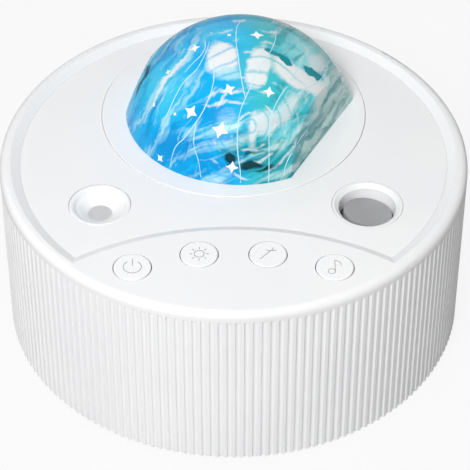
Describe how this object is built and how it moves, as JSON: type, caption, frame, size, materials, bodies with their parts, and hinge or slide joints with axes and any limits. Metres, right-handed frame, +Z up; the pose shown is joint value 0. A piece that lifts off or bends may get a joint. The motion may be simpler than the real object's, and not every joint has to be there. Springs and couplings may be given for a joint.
{
  "type": "star night light projector",
  "caption": "Round white ribbed night light projector with a tinted crystal dome, two light ports and a row of round touch keys on top.",
  "frame": {"origin": "on the table under the drum's axis, at the centre of the underside of the feet", "axes": "+Z up through the drum; -Y towards the front, where the four keys are; +X to the right seen from the front"},
  "size_m": [0.16, 0.16, 0.098],
  "materials": {
    "white_shell": "satin gloss white",
    "white_keys": "satin gloss white",
    "tinted_dome": "clear acrylic tinted from sky blue to sea green, polished facets",
    "clear_optic": "clear moulded acrylic",
    "smoked_lens": "smoky clear lens",
    "tinted_disc": "tinted patterned film disc",
    "dark_plastic": "matte black",
    "black_plunger": "matte black",
    "mirror_cup": "vacuum metallised",
    "lamp_board_white": "white board mask",
    "lamp_yellow": "phosphor yellow",
    "bare_aluminium": "bare",
    "acetal_white": "natural acetal",
    "brass": "turned",
    "steel": "plain",
    "screw_steel": "zinc plated",
    "white_base": "fine texture white",
    "rubber": "soft grey rubber",
    "circuit_board": "green solder mask",
    "black_metal": "black",
    "cone_paper": "black pulp"
  },
  "bodies": {
    "projector": {"barrel_lenses": "clear_optic", "base_cover": "white_base", "base_screws": "screw_steel", "board_capacitors": "bare_aluminium", "board_chips": "dark_plastic", "deck_plate": "white_shell", "deck_screws": "screw_steel", "dome_collar": "white_shell", "dome_cover": "tinted_dome", "drive_motor": "steel", "drum_housing": "white_shell", "engine_plate": "dark_plastic", "foot_1": "rubber", "foot_2": "rubber", "foot_3": "rubber", "foot_4": "rubber", "heat_sink": "bare_aluminium", "key_board": "circuit_board", "key_switches": "dark_plastic", "lamp_board": "lamp_board_white", "lamp_chips": "lamp_yellow", "lamp_screws": "screw_steel", "main_board": "circuit_board", "power_socket": "steel", "radio_board": "circuit_board", "radio_shield": "steel", "reflector": "mirror_cup", "sky_barrel": "brass", "sky_lens": "smoked_lens", "sky_lens_barrel": "dark_plastic", "sky_motor": "steel", "sky_mount": "dark_plastic", "sky_port_bezel": "white_shell", "small_screws": "screw_steel", "speaker_basket": "black_metal", "speaker_gasket": "rubber", "speaker_magnet": "black_metal", "speaker_surround": "rubber", "star_barrel": "brass", "star_motor": "steel", "star_mount": "dark_plastic", "star_port_bezel": "white_shell", "star_window": "clear_optic"},
    "power_button": {"power_key": "white_keys", "power_plunger": "black_plunger"},
    "light_button": {"light_key": "white_keys", "light_plunger": "black_plunger"},
    "mode_button": {"mode_key": "white_keys", "mode_plunger": "black_plunger"},
    "music_button": {"music_key": "white_keys", "music_plunger": "black_plunger"},
    "ripple_turntable": {"ripple_wheel": "acetal_white", "ripple_dome": "clear_optic"},
    "drive_gear": {"drive_pinion": "brass", "drive_shaft": "steel"},
    "star_rotor": {"star_disc": "clear_optic", "star_shaft": "steel"},
    "sky_rotor": {"sky_disc": "tinted_disc", "sky_shaft": "steel"},
    "cone": {"speaker_cone": "cone_paper"}
  },
  "joints": [
    {"name": "power_press", "type": "slide", "parent": "projector", "child": "power_button", "axis": [0, 0, -1], "range_m": [0, 0.0005], "stiffness_N_per_m": 600, "springref_m": -0.0005},
    {"name": "light_press", "type": "slide", "parent": "projector", "child": "light_button", "axis": [0, 0, -1], "range_m": [0, 0.0005], "stiffness_N_per_m": 600, "springref_m": -0.0005},
    {"name": "mode_press", "type": "slide", "parent": "projector", "child": "mode_button", "axis": [0, 0, -1], "range_m": [0, 0.0005], "stiffness_N_per_m": 600, "springref_m": -0.0005},
    {"name": "music_press", "type": "slide", "parent": "projector", "child": "music_button", "axis": [0, 0, -1], "range_m": [0, 0.0005], "stiffness_N_per_m": 600, "springref_m": -0.0005},
    {"name": "ripple_spin", "type": "hinge", "parent": "projector", "child": "ripple_turntable", "pos_m": [0, 0.024, 0], "axis": [0, 0, 1], "continuous": true},
    {"name": "drive_spin", "type": "hinge", "parent": "projector", "child": "drive_gear", "pos_m": [0, -0.0072, 0], "axis": [0, 0, 1], "continuous": true},
    {"name": "star_spin", "type": "hinge", "parent": "projector", "child": "star_rotor", "pos_m": [-0.03463, -0.0211, 0], "axis": [0, 0, 1], "continuous": true},
    {"name": "sky_spin", "type": "hinge", "parent": "projector", "child": "sky_rotor", "pos_m": [0.03463, -0.0211, 0], "axis": [0, 0, 1], "continuous": true},
    {"name": "cone_drive", "type": "slide", "parent": "projector", "child": "cone", "axis": [0, 0, 1], "range_m": [-0.0005, 0.0005], "stiffness_N_per_m": 1500, "deforming": ["speaker_surround"]}
  ],
  "couplings": [
    {"joint": "drive_spin", "follows": "ripple_spin", "ratio": -5.5}
  ]
}
